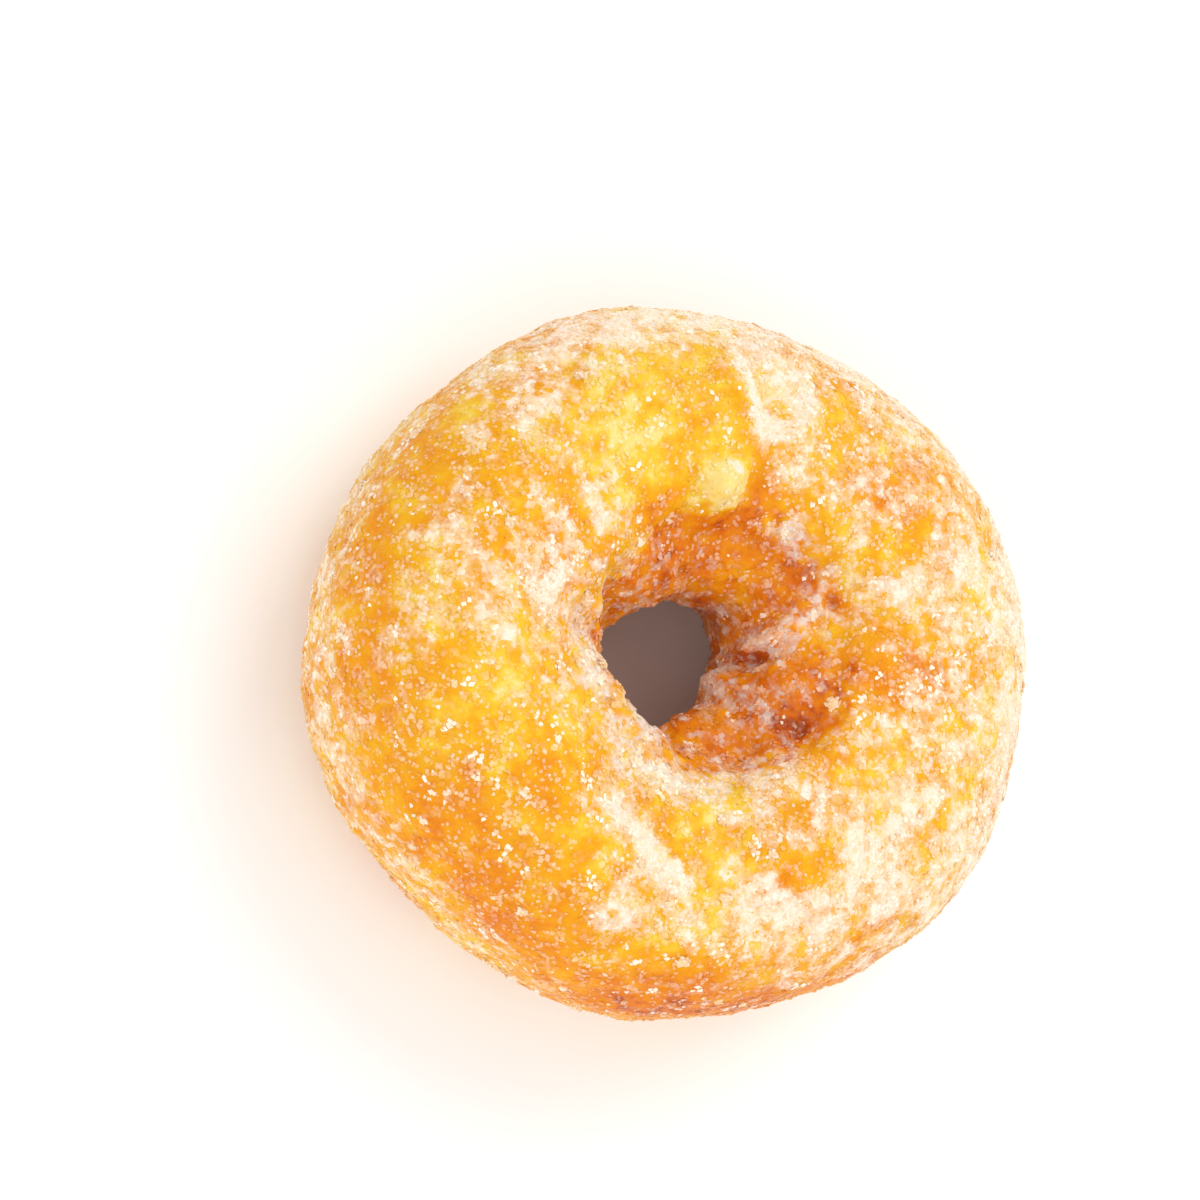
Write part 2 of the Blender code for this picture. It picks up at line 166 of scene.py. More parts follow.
# Smaller patches, which only the grains and the film of sugar follow. A few of them are painted
# highlight or painted shade, as marked.
SMALL_SUGAR_AND_PAINTED_LIGHT = [
    (84, 70, 0.9, 3.2, 0, 1.0),  # left arm of the dimple
    (81, 84, 1.0, 3.4, 30, 1.4),  # left arm, further in
    (75, 90, 2.4, 1.3, 0, 1.1),  # foot of the dimple
    (77, 77, 1.8, 3.2, 0, -0.6),  # middle of the dimple
    (86, 80, 1.2, 3.4, 30, -0.9),  # bare crust left of the dimple
    (71, 81, 1.8, 2.4, 0, 0.15),  # right arm of the dimple
    (63, 70, 3.4, 4.0, 0, -0.75),  # beyond the right arm
    (60, 82, 2.2, 4.0, 0, -0.7),  # bare ridge beyond the dimple
    (67, 104, 1.6, 3.0, -20, 0.9),  # between the dimple and the blister
    (54, 127, 2.6, 2.4, 0, 1.9),  # under the blister
    (47, 113, 2.4, 2.4, 0, -0.6),  # on the blister
    (150, 86, 3.0, 3.0, 0, 0.25),  # beyond the streak
    (175, 66, 11.0, 8.0, 0, 0.35),  # middle of the left face
    (181, 88, 2.4, 1.2, 0, 0.6),  # small drift of the left face
    (186, 94, 2.0, 1.2, 0, 0.6),  # the same, further in
    (187, 48, 5.0, 3.0, 0, 0.5),  # left shoulder
    (196, 39, 2.6, 3.0, 0, 0.9),  # patch on the left shoulder
    (190, 108, 6.0, 2.5, 0, 0.35),  # left edge of the hole
    (185, 130, 5.0, 2.4, 0, 1.2),  # white edge left of the hole
    (222, 124, 5.0, 2.0, 0, 0.6),  # lip of the hole
    (227, 140, 5.5, 1.2, 0, 0.9),  # edge of the lip
    (228, 91, 2.6, 1.8, 0, 0.7),  # beginning of the drift in the near fold
    (240, 96, 3.0, 1.8, -35, 0.9),  # the drift in the near fold
    (248, 88, 1.6, 2.6, 0, 0.7),  # the drift, further on
    (257, 82, 4.0, 1.5, 0, 0.8),  # end of the drift
    (248, 56, 2.8, 3.6, 0, 0.9),  # patch on the near shoulder
    (276, 77, 4.5, 2.6, 0, 0.4),  # fold of the near rim
    (255, 123, 6.0, 1.6, 0, 0.4),  # near rim of the hole
    (313, 83, 5.0, 4.0, 0, 0.35),  # right end of the near folds
    (289, 62, 6.0, 2.6, 0, 0.5),  # near shoulder
    (325, 78, 4.0, 3.0, 0, 0.5),  # right of the near folds
    (15, 147, 2.0, 6.0, 22, -0.3),  # crest of the ridge: thinner sugar, darker as painted shade on the ridge
    (344, 176, 3.0, 5.0, 0, 1.2),  # ledge at the foot of the ridge
    (4, 162, 1.4, 3.2, 0, -1.0),  # groove beside the ridge
    (50, 60, 7.0, 4.0, 0, 0.15),  # right face, far side
    (45, 88, 5.0, 4.0, 0, 0.1),  # round the blister
    (133, 58, 6.0, 5.0, 0, 0.2),  # far left face
    (166, 55, 5.0, 4.0, 0, 0.25),  # left face
    (95, 35, 26.0, 6.0, 0, 1.0),  # far rim of the ring, thickly sugared; its white is also a painted highlight on the bright rim
    (8, 42, 16.0, 6.0, 0, 0.45),  # right side, high
    (330, 30, 25.0, 6.0, 0, 0.4),  # right near rim
    (282, 28, 12.0, 4.0, 0, 0.3),  # near rim
    (195, 3, 40.0, 4.0, 0, 0.4),  # left side, low
    (112, 102, 3.0, 6.0, 0, -0.6),  # bare streak down to the hole
    (195, 62, 30.0, 18.0, 0, -0.26),  # left face, thinly sugared
    (217, 50, 13.0, 10.0, 0, -0.5),  # near left face, thinly sugared
    (257, 37, 9.0, 5.0, 0, -0.45),  # near shoulder, thinly sugared
    (188, 58, 5.0, 3.0, 0, -0.4),  # bare spot of the left face
    (174, 32, 8.0, 6.0, 0, -0.3),  # far left shoulder
    (230, 64, 6.0, 5.0, 0, -0.5),  # near left face
    (265, 49, 6.0, 3.0, 0, -0.5),  # near shoulder, right of the patch
    (264, 105, 4.0, 3.0, 0, -0.4),  # near face, at the rim of the hole
    (272, 15, 22.0, 5.2, 0, -1.5),  # near side, low: bare crust, darker as painted shade under the ring's edge
    (125, 75, 14.0, 10.0, 0, -0.2),  # far left face, thinly sugared
    (0, 58, 26.0, 16.0, 0, 0.28),  # right face, thickly sugared
    (80, 152, 14.0, 9.0, 0, 0.35),  # far wall of the hole
    (310, 55, 18.0, 10.0, 0, 0.25),  # near right face, thickly sugared
    (75, 50, 20.0, 6.0, 0, 0.1),  # far right face, thickly sugared
    (141, 91, 2.0, 2.0, 0, -0.8),  # bare spot beside the streak
    (105, 76, 5.0, 6.0, 0, -0.2),  # bare far face
    (92, 95, 4.0, 4.0, 0, -0.4),  # bare crust beyond the knob
    (89, 113, 3.7, 2.7, 0, -2.2),  # the knob itself
    (86.5, 105.5, 1.2, 0.5, -25, 6.0),  # painted highlight: a white crescent of sugar on the knob, for the light on its upper right
    (88, 119, 2.0, 0.8, 0, 1.2),  # below the knob's middle
    (77, 113, 1.6, 4.5, 0, -0.9),  # groove between the knob and the blister
    (73, 122, 4.0, 3.0, 0, -0.6),  # below the groove
    (45, 150, 5.0, 5.0, 0, -0.8),  # second roll of the far wall
    (355, 130, 5.0, 5.0, 0, -0.7),  # right wall of the hole
    (346, 108, 3.0, 2.4, 0, -0.8),  # right edge of the hole
    (4, 106, 3.0, 5.0, 0, -0.7),  # right edge of the hole, beyond the wrinkles
    (29, 90, 2.4, 2.4, 0, -0.9),  # spot on the right face
    (320, 109, 3.0, 3.0, 0, -0.6),  # near right edge of the hole
    (323, 130, 3.2, 3.4, 0, -0.9),  # hollow below the ridge
    (272, 152, 5.0, 5.0, 0, -0.5),  # lump of the near wall
    (259, 99, 4.5, 4.0, 0, -1.0),  # near face, under the lip
    (293, 83, 3.5, 2.5, 0, -0.9),  # between the near folds
    (322, 67, 3.0, 2.5, 0, -0.6),  # right near shoulder
    (223, 97, 4.0, 4.0, 0, -0.8),  # left near face
    (203, 57, 7.0, 4.0, 0, -0.7),  # left face
    (208, 76, 6.0, 6.0, 0, -0.6),  # left face, further in
    (148, 30, 6.0, 4.0, 0, -0.7),  # far left shoulder
    (150, 46, 3.0, 3.0, 0, -0.7),  # far left face
    (262, 42, 5.0, 2.5, 0, -0.6),  # near shoulder
]

# How brown the crust is: darker (+) or yellower (-), in the form of RELIEF with a share. Some rows
# are painted shade or painted light, as marked.
BROWNING_AND_SHADE = [
    (168, 28, 16.0, 6.0, 0, 0.5),  # far left shoulder
    (225, 30, 14.0, 6.0, 0, 0.4),  # near left shoulder
    (268, 28, 12.0, 7.0, 0, 0.5),  # near side
    (38, 84, 9.0, 7.0, 0, 0.35),  # right face
    (5, 62, 16.0, 8.0, 0, -0.25),  # right face, near the edge
    (352, 100, 6.0, 7.0, 0, 0.7),  # right edge of the hole
    (300, 66, 8.0, 5.0, 0, 0.3),  # near right shoulder
    (108, 88, 12.0, 9.0, 0, -0.55),  # far face
    (205, 92, 12.0, 8.0, 0, -0.18),  # left face
    (258, 98, 6.0, 5.0, 0, -0.15),  # near face, under the lip
    (89, 112.5, 3.0, 2.5, 0, -3.0),  # knob
    (89, 112.5, 4.5, 4.0, 0, 0.8),  # painted shade: browner ring round the knob, where it meets the crust
    (88, 125, 3.5, 1.8, 0, -0.25),  # painted light: yellower wall under the knob, against its shade
    (218, 50, 12.0, 10.0, 0, 0.3),  # near left face
    (272, 13, 28.0, 5.0, 0, 0.75),  # painted shade: browner along the low near side, under the ring's edge
    (74, 112, 1.5, 4.5, 0, 0.6),  # painted shade: browner in the groove between the knob and the blister
    (113, 118, 3.0, 2.4, 0, 0.7),  # brown lobe of the hole's wall beside the knob, partly painted shade
    (47, 113, 3.4, 3.4, 0, -0.6),  # blister
    (323, 129, 3.0, 3.0, 0, 0.7),  # painted shade: browner in the hollow below the ridge
    (4, 162, 1.4, 3.2, 0, 1.0),  # painted shade: browner in the groove beside the ridge
    (23, 125, 1.5, 1.5, 0, 1.0),  # painted shade: browner in the pit at the top of the ridge
]

# How much the patches of each table count
SUGAR_WEIGHT = 0.55
SMALL_SUGAR_AND_PAINTED_LIGHT_WEIGHT = 0.45
BROWNING_AND_SHADE_WEIGHT = 0.45

# The browned wall of the hole, browner crust and painted shade in one: where it begins, as an angle
# round the tube, how far off that lies at some angles round the ring, how blurred and how ragged
# the edge is, and the size of its teeth
WALL_EDGE_BASE = 128.0
WALL_EDGE_WIDTH = 24.0
WALL_EDGE = [
    (20, 4),
    (62, -2),
    (95, -6),
    (130, 2),
    (160, 12),
    (215, 14),
    (260, 6),
    (300, -2),
    (340, -10),
]
WALL_EDGE_BLUR = 3.0
WALL_EDGE_RAGGED = 9.0
WALL_EDGE_TOOTH = 2.5 * MM

# Where the browned wall ends, and how brown it is, browning that is partly painted shade
WALL_EDGE_END = 270.0
WALL_BROWNING_AND_SHADE = 0.34

# How far inward the crust faces, as a cosine, where the hole's wall begins and where it is reached
WALL_START = 0.2
WALL_FULL = 0.8

# Clumps of sugar that stand out from a step away: number, radius and how much it varies, how flat
# they are, how deep they sit and how uneven, the least gap between them and above the floor, and
# how far each way the middle of the hole's wall is kept clear, in degrees
CLUMPS = 98
CLUMP_RADIUS = 0.85 * MM
CLUMP_SPREAD = 0.3
CLUMP_FLATNESS = 0.72
CLUMP_SUNK = 0.25
CLUMP_ROUGHNESS = 0.16
CLUMP_GAP = 2.9 * MM
CLUMP_FLOOR = 2.6 * MM
HOLE_WALL = 45.0
CLUMP_SEED = 11

# Crystals on each clump: number, smallest and largest size, how flat they lie, how far out they and
# the clump's core reach as shares of its form, and how white they and the core are
CLUMP_GRAINS = 40
CLUMP_GRAIN_SIZE = (0.30 * MM, 0.50 * MM)
CLUMP_GRAIN_FLATNESS = 0.35
CLUMP_HOLD = 0.98
CLUMP_CORE = 0.86
CLUMP_WHITENESS = (0.35, 0.95)
CORE_WHITENESS = 0.5

# Steps in which the crust is measured, to find its box
BOX_RING_STEPS = 181
BOX_TUBE_STEPS = 93

# Turn over which the crust's slope is measured, in radians, and the least length of a direction
SLOPE_STEP = 0.01
LEAST_LENGTH = 1e-12

# Mesh of the ring: it is made as a plain ring of these two radii, closed along its seam, and then
# shaped
RING_STEPS = 384
TUBE_STEPS = 252
PLAIN_RING = 2.0
PLAIN_TUBE = 1.0
SEAM = 0.0001

# Fine relief of the crust: size of its bumps and their height, how much rougher the hole's wall is,
# how far above the floor the relief is whole, and the height that a closed layer of sugar adds
SKIN = [(6.0 * MM, 0.30 * MM), (2.4 * MM, 0.22 * MM), (1.1 * MM, 0.10 * MM)]
WALL_ROUGHNESS = 1.6
SKIN_CLEARANCE = 1.5 * MM
SUGAR_LAYER = 0.15 * MM

# Unevenness of the sugar and of the browning: size of the patches and how much they differ
SUGAR_BASE = 0.325
SUGAR_UNEVEN = [(7.0 * MM, 0.14), (3.2 * MM, 0.36), (1.6 * MM, 0.36)]
BROWN_BASE = 0.38
BROWN_UNEVEN = [(9.0 * MM, 0.20), (3.0 * MM, 0.20), (1.5 * MM, 0.12)]

# Noise: each step finer is half as long and half as high, and each use has its own place in it
NOISE_FALL = 1.0
NOISE_STEP = 2.0
SUGAR_NOISE = 3.1
BROWN_NOISE = 5.9
EDGE_NOISE = 8.3
SKIN_NOISE = 11.0

# Where drifts of sugar begin and where they are closed, as shares of sugar
DRIFT_START = 0.25
DRIFT_FULL = 1.0

# Grains of each kind: name, whether blocky, number, how many lie together, smallest and largest
# size, how flat they lie, how many of them lie on bare crust for each one on a drift, how many are
# white, seed
GRAINS = [
    ("sugar_fine", False, 12000, 1, 0.36 * MM, 0.50 * MM, 0.65, 0.40, 0.01, 21),
    ("sugar_small", False, 18000, 3, 0.46 * MM, 0.64 * MM, 0.62, 0.24, 0.02, 22),
    ("sugar_middling", True, 12000, 5, 0.46 * MM, 0.66 * MM, 0.58, 0.18, 0.05, 23),
    ("sugar_coarse", False, 3900, 3, 0.56 * MM, 0.78 * MM, 0.50, 0.26, 0.20, 24),
]

# How far a group of grains spreads, how white grains are on bare crust and on a drift, how much
# whiter some groups are, how uneven groups and grains are, how high grains sit as shares of their
# size, and how much lower on a drift
GROUP_SPREAD = 0.55 * MM
BARE_WHITENESS = 0.21
DRIFT_WHITENESS = 0.82
WHITE_EXTRA = 0.7
GROUP_UNEVEN = 0.12
GRAIN_UNEVEN = 0.08
GRAIN_LIFT = (-0.12, 0.03)
DRIFT_SINK = 0.08

# How many places are drawn at a time for each one that is wanted, how many sizes grains stay off
# the floor, and the height below which no crystal reaches
DRAWS = 4
GRAIN_CLEARANCE = 2
GRAIN_FLOOR = 0.05 * MM

# Crystals of unit size: sides of a block, radius of a chip, how skewed they are and how stretched
BLOCK_SIDES = (1.0, 0.86, 0.7)
CHIP_RADIUS = 0.62
SKEW_X = 0.18
SKEW_Y = 0.12
STRETCH = (0.75, 1.25)

# Colours of fried crust from yellow to brown, and from dark to light those of crushed sugar on the
# face and in the hole, greyed there as painted shade, of white crystals and of the floor
DOUGH_COLOURS = [
    (0.0, (0.90, 0.70, 0.240)),
    (0.14, (0.87, 0.56, 0.040)),
    (0.35, (0.84, 0.395, 0.008)),
    (0.6, (0.80, 0.28, 0.006)),
    (0.85, (0.70, 0.17, 0.006)),
    (1.0, (0.43, 0.07, 0.008)),
]
CRUSHED_COLOURS = [(0.0, (0.92, 0.73, 0.53)), (1.0, (0.98, 0.87, 0.75))]
SHADED_FILM_COLOURS = [(0.0, (0.68, 0.56, 0.48)), (1.0, (0.87, 0.77, 0.69))]
WHITE_COLOURS = [(0.3, (0.97, 0.80, 0.60)), (0.7, (1.0, 0.92, 0.80))]
FLOOR_COLOURS = [(0.0, (0.96, 0.96, 0.96)), (1.0, (0.98, 0.98, 0.98))]

# Film of crushed sugar: size of its grains, the shares of sugar where it begins and where it is
# closed, how closely it covers then, and how broken it is
CRUSHED_GRAIN = 0.5 * MM
FILM_START = 0.12
FILM_FULL = 0.95
FILM_MOST = 0.97
FILM_UNEVEN = 2.3

# Mottling of the crust: its size, how much it changes the browning, how rough the crust is and how
# much rougher the film, and how far each crushed grain falls away from its middle
MOTTLING = 1.3 * MM
TONE_UNEVEN = 0.55
CRUST_ROUGHNESS = 0.42
FILM_ROUGHER = 0.25
GRAIN_FALL = -0.5

# Size of the clouds in white crystals, and how far light spreads inside them
CRYSTAL_CLOUDS = 0.3 * MM
CRYSTAL_SOFTNESS = 0.4

# Soft lights: name, place, size, power and colour
SOFTBOXES = [
    ("key", (0.40, 0.50, 0.70), 0.7, 3.6, (1.0, 0.98, 0.95)),
    ("fill", (-0.55, -0.40, 0.50), 0.8, 2.6, (1.0, 1.0, 1.0)),
    ("side", (0.45, -0.60, 0.45), 0.8, 1.6, (1.0, 1.0, 1.0)),
]
ROOM_BRIGHTNESS = 0.74

# How far the floor reaches each way, and the size of its faint mottling
FLOOR_REACH = 3.0
FLOOR_MOTTLING = 80.0 * MM

# Camera: how far it leans from straight above and towards which side, and how near it is. The
# photograph's middle lies beside the ring's.
IMAGE_SIZE = 1200
SENSOR = 36.0
TILT = math.radians(26.0)
TURN = math.radians(201.0)
DISTANCE = 0.7
PIXELS_PER_METRE = 8200.0
AIM_HEIGHT = 17.0 * MM
AIM_PIXEL_X = 667
AIM_PIXEL_Y = 663


def turned(angle, centre):
    """The shortest turn from centre to angle, in degrees."""
    return (np.degrees(angle) - centre + 180.0) % 360.0 - 180.0


def lobes(turn, table, width):
    """Height of the bulges in table at each angle round the ring."""
    total = np.zeros_like(turn)
    for centre, height in table:
        total += height * MM * np.exp(-((turned(turn, centre) / width) ** 2))
    return total


def spots(turn, tube, table):
    """Sum of the smooth spots in table, each with its own centre, reach, slant and height."""
    total = np.zeros_like(turn)
    for ring_at, tube_at, length, width, slant, height in table:
        ring_radius = RING_RADIUS + TUBE_RADIUS * math.cos(math.radians(tube_at))
        along = np.radians(turned(turn, ring_at)) * ring_radius
        across = np.radians(turned(tube, tube_at)) * TUBE_RADIUS
        c, s = math.cos(math.radians(slant)), math.sin(math.radians(slant))
        total += height * np.exp(
            -(((along * c + across * s) / (length * MM)) ** 2)
            - ((across * c - along * s) / (width * MM)) ** 2
        )
    return total


def outer_radius(turn):
    """Distance of the outside from the axis."""
    length, width = OUTER_LENGTH / 2, OUTER_WIDTH / 2
    oval = length * width / np.hypot(width * np.cos(turn), length * np.sin(turn))
    return oval + lobes(turn, OUTLINE, OUTLINE_WIDTH)


def hole_radius(turn):
    """Distance of the narrowest part of the hole from the axis."""
    shift = HOLE_OFFSET_X * np.cos(turn) + HOLE_OFFSET_Y * np.sin(turn)
    return HOLE_WIDTH / 2 + shift + lobes(turn, HOLE_OUTLINE, HOLE_OUTLINE_WIDTH)


def rounded(value, squareness):
    """A cosine or sine, drawn towards the corners of its section."""
    return np.sign(value) * np.abs(value) ** (2.0 / squareness)


def swell(turn, tube):
    """Height of the slow waves of the crust."""
    return sum(
        height * np.sin(around * turn + across * tube + phase)
        for around, across, phase, height in SWELL
    )


def crust(turn, tube):
    """Points of the crust at these angles, as rows of X, Y and Z."""
    outside, inside = outer_radius(turn), hole_radius(turn)
    middle, half = (outside + inside) / 2, (outside - inside) / 2
    squareness = np.where(np.cos(tube) > 0, OUTER_SQUARENESS, INNER_SQUARENESS)
    height = (spots(turn, tube, RELIEF) + swell(turn, tube)) * MM
    reach = middle + half * rounded(np.cos(tube), squareness) + height * np.cos(tube)
    rise = THICKNESS / 2 * (1 + rounded(np.sin(tube), squareness))
    level = rise + height * np.sin(tube) - FOOT_SAG
    return np.stack([reach * np.cos(turn), reach * np.sin(turn), np.maximum(level, 0.0)], axis=-1)


def crust_normals(turn, tube):
    """Outward directions of the crust at these angles, as rows."""
    here = crust(turn, tube)
    along = crust(turn + SLOPE_STEP, tube) - here
    across = crust(turn, tube + SLOPE_STEP) - here
    normal = np.cross(along, across)
    length = np.linalg.norm(normal, axis=1, keepdims=True)
    return normal / np.maximum(length, LEAST_LENGTH)


def smooth_step(value, low, high):
    """0 below low, 1 above high and a smooth rise between them."""
    t = np.clip((value - low) / (high - low), 0.0, 1.0)
    return t * t * (3 - 2 * t)


def depth_in_hole(tube):
    """From 0 outside the hole to 1 on its wall."""
    return smooth_step(-np.cos(tube), WALL_START, WALL_FULL)


def mottle(points, size, shift, octaves=2):
    """Smooth random values, about -1 to 1, that vary over the given size."""
    offset = Vector((shift, -shift, 2 * shift))
    places = [Vector(point) / size + offset for point in points]
    return np.array([noise.fractal(place, NOISE_FALL, NOISE_STEP, octaves) for place in places])


def mottle_all(points, table, shift):
    """Sum of the random values of each size in the table, at the height that it gives them."""
    return sum(height * mottle(points, size, shift) for size, height in table)


def sugar_share(turn, tube, points):
    """How thick the sugar lies, from 0 for bare crust to 1 for a closed layer, with some painted
    light.
    """
    large = spots(turn, tube, SUGAR) * SUGAR_WEIGHT
    small = spots(turn, tube, SMALL_SUGAR_AND_PAINTED_LIGHT) * SMALL_SUGAR_AND_PAINTED_LIGHT_WEIGHT
    uneven = mottle_all(points, SUGAR_UNEVEN, SUGAR_NOISE)
    return np.clip(SUGAR_BASE + (large + small) + uneven, 0.0, 1.0)


def crust_browning_and_shade(turn, tube, points):
    """How brown the crust is, from 0 for yellow to 1 for brown, with painted shade in the hole and
    hollows.
    """
    patches = spots(turn, tube, BROWNING_AND_SHADE) * BROWNING_AND_SHADE_WEIGHT
    uneven = mottle_all(points, BROWN_UNEVEN, BROWN_NOISE)
    edge = WALL_EDGE_BASE + lobes(turn, WALL_EDGE, WALL_EDGE_WIDTH) / MM
    edge += WALL_EDGE_RAGGED * mottle(points, WALL_EDGE_TOOTH, EDGE_NOISE, octaves=3)
    down = np.degrees(tube) % 360.0
    wall = smooth_step(down, edge - WALL_EDGE_BLUR, edge + WALL_EDGE_BLUR) * (down < WALL_EDGE_END)
    return np.clip(BROWN_BASE + patches + uneven + wall * WALL_BROWNING_AND_SHADE, 0.0, 1.0)


def surface(turn, tube):
    """The crust with skin and layer of sugar: points, outward directions and share of sugar."""
    points = crust(turn, tube)
    normals = crust_normals(turn, tube)
    share = sugar_share(turn, tube, points)
    skin = mottle_all(points, SKIN, SKIN_NOISE)
    height = skin * (1 + WALL_ROUGHNESS * depth_in_hole(tube))
    height += SUGAR_LAYER * smooth_step(share, DRIFT_START, DRIFT_FULL)
    height += spots(turn, tube, FINE_RELIEF) * MM
    free = np.clip(points[:, 2] / SKIN_CLEARANCE, 0.0, 1.0)
    raised = points + normals * (height * free)[:, None]
    raised[:, 2] = np.maximum(raised[:, 2], 0.0)
    return raised, normals, share


def add_object(name, data):
    """An object with this mesh, light or camera, in the scene."""
    obj = bpy.data.objects.new(name, data)
    bpy.context.scene.collection.objects.link(obj)
    return obj


def store(mesh, name, values):
    """Keeps one number for each vertex, for the material to read."""
    attribute = mesh.attributes.new(name, "FLOAT", "POINT")
    attribute.data.foreach_set("value", np.asarray(values, np.float32))


def store_direction(mesh, name, directions):
    """Keeps one direction for each vertex, for the material to read."""
    attribute = mesh.attributes.new(name, "FLOAT_VECTOR", "POINT")
    attribute.data.foreach_set("vector", np.asarray(directions, np.float32).ravel())


def plain_ring():
    """A plain ring, rolled up from a grid, and the two angles of each of its points."""
    bm = bmesh.new()
    bmesh.ops.create_grid(bm, x_segments=RING_STEPS, y_segments=TUBE_STEPS, size=math.pi)
    seam = [vertex for vertex in bm.verts if vertex.is_boundary]
    for vertex in bm.verts:
        turn, tube, _ = vertex.co
        reach = PLAIN_RING + PLAIN_TUBE * math.cos(tube)
        vertex.co = (reach * math.cos(turn), reach * math.sin(turn), PLAIN_TUBE * math.sin(tube))
    bmesh.ops.remove_doubles(bm, verts=seam, dist=SEAM)
    bmesh.ops.recalc_face_normals(bm, faces=bm.faces[:])
    mesh = bpy.data.meshes.new("ring_body")
    bm.to_mesh(mesh)
    bm.free()
    plain = np.array([v.co for v in mesh.vertices], float)
    turn = np.arctan2(plain[:, 1], plain[:, 0])
    tube = np.arctan2(plain[:, 2], np.hypot(plain[:, 0], plain[:, 1]) - PLAIN_RING)
    return mesh, turn, tube


def make_ring(shift):
    """The dough: the ring's form with the fine skin of its crust."""
    mesh, turn, tube = plain_ring()
    points, _, share = surface(turn, tube)
    mesh.vertices.foreach_set("co", (points + shift).ravel())
    store(mesh, "sugar", share)
    # depth: how far into the hole, where the film of sugar is greyed as painted shade
    store(mesh, "depth", depth_in_hole(tube))
    store(mesh, "browning_and_shade", crust_browning_and_shade(turn, tube, points))
    mesh.update()
    mesh.shade_smooth()
    mesh.materials.append(crust_material())
    return add_object("ring_body", mesh)


def clump_places(rng):
    """Scattered places on the crust, more where sugar lies thick and none near the floor.

    The hole's wall is kept clear within HOLE_WALL degrees of its middle.
    """
    places = []
    while len(places) < CLUMPS:
        turn = rng.uniform(-math.pi, math.pi)
        tube = rng.uniform(-math.pi, math.pi)
        draw = rng.random()
        point = crust(np.array([turn]), np.array([tube]))[0]
        evenly = math.hypot(point[0], point[1]) / (OUTER_LENGTH / 2)
        wanted = evenly * (0.5 + 0.5 * spots(np.array([turn]), np.array([tube]), SUGAR)[0])
        in_hole = abs(turned(tube, 180.0)) < HOLE_WALL
        if draw > wanted or point[2] < CLUMP_FLOOR or in_hole:
            continue
        if all((Vector(point) - near).length > CLUMP_GAP for near, _, _ in places):
            places.append((Vector(point), turn, tube))
    return places


def crystal(blocky):
    """Corners and triangles of one sugar crystal of unit size, a block or a chip of eight sides."""
    bm = bmesh.new()
    if blocky:
        bmesh.ops.create_cube(bm, size=1.0)
        bmesh.ops.scale(bm, vec=BLOCK_SIDES, verts=bm.verts[:])
    else:
        bmesh.ops.create_uvsphere(bm, u_segments=4, v_segments=2, radius=CHIP_RADIUS)
    skew = Matrix(((1, SKEW_X, 0, 0), (0, 1, SKEW_Y, 0), (0, 0, 1, 0), (0, 0, 0, 1)))
    bmesh.ops.transform(bm, matrix=skew, verts=bm.verts[:])
    bmesh.ops.triangulate(bm, faces=bm.faces[:])
    corners = np.array([v.co for v in bm.verts], float)
    faces = np.array([[v.index for v in f.verts] for f in bm.faces], int)
    bm.free()
    return corners, faces


def random_turns(rng, count):
    """Random rotations, as 3 by 3 matrices."""
    q = rng.normal(size=(count, 4))
    w, x, y, z = (q / np.linalg.norm(q, axis=1, keepdims=True)).T
    return np.stack(
        [
            np.stack([1 - 2 * (y * y + z * z), 2 * (x * y - w * z), 2 * (x * z + w * y)], -1),
            np.stack([2 * (x * y + w * z), 1 - 2 * (x * x + z * z), 2 * (y * z - w * x)], -1),
            np.stack([2 * (x * z - w * y), 2 * (y * z + w * x), 1 - 2 * (x * x + y * y)], -1),
        ],
        1,
    )


def crystals(blocky, middles, normals, sizes, flatness, rng):
    """Points and triangles of crystals at these middles, turned and stretched at random."""
    corners, faces = crystal(blocky)
    count = len(middles)
    stretch = rng.uniform(*STRETCH, (count, 1, 3))
    spun = np.einsum("nij,nkj->nki", random_turns(rng, count), corners[None] * stretch)
    height = np.einsum("nkj,nj->nk", spun, normals)
    spun -= flatness * height[:, :, None] * normals[:, None, :]
    points = middles[:, None, :] + spun * sizes[:, None, None]
    points[:, :, 2] = np.maximum(points[:, :, 2], GRAIN_FLOOR)
    first = (np.arange(count) * len(corners))[:, None, None]
    return points.reshape(-1, 3), (faces[None] + first).reshape(-1, 3)


def make_sugar(name, points, faces, whiteness, browning_and_shade, outward):
    """A piece of sugar, whose points keep whiteness, the crust's tone with painted shade, and the
    way outward.
    """
    mesh = bpy.data.meshes.new(name)
    mesh.from_pydata(points.tolist(), [], faces.tolist())
    store(mesh, "whiteness", whiteness)
    store(mesh, "browning_and_shade", browning_and_shade)
    store_direction(mesh, "outward", outward)
    mesh.update()
    mesh.materials.append(sugar_material())
    return add_object(name, mesh)


def scatter(count, group, bare_share, size, rng):
    """The two angles of each grain, in small groups, fewer of them where the crust is bare."""
    batches = []
    places = count // group
    while sum(len(batch[0]) for batch in batches) < places:
        turn, tube = rng.uniform(-math.pi, math.pi, (2, DRAWS * places))
        place = crust(turn, tube)
        evenly = np.hypot(place[:, 0], place[:, 1]) / (OUTER_LENGTH / 2)
        kept = (rng.random(DRAWS * places) < evenly) & (place[:, 2] > GRAIN_CLEARANCE * size)
        turn, tube, place = turn[kept], tube[kept], place[kept]
        drift = smooth_step(sugar_share(turn, tube, place), DRIFT_START, DRIFT_FULL)
        kept = rng.random(len(turn)) < bare_share + (1 - bare_share) * drift
        batches.append((turn[kept], tube[kept]))
    turn, tube = (np.repeat(np.concatenate(values)[:places], group) for values in zip(*batches))
    aside = rng.normal(0.0, GROUP_SPREAD, (2, len(turn)))
    return turn + aside[0] / RING_RADIUS, tube + aside[1] / TUBE_RADIUS


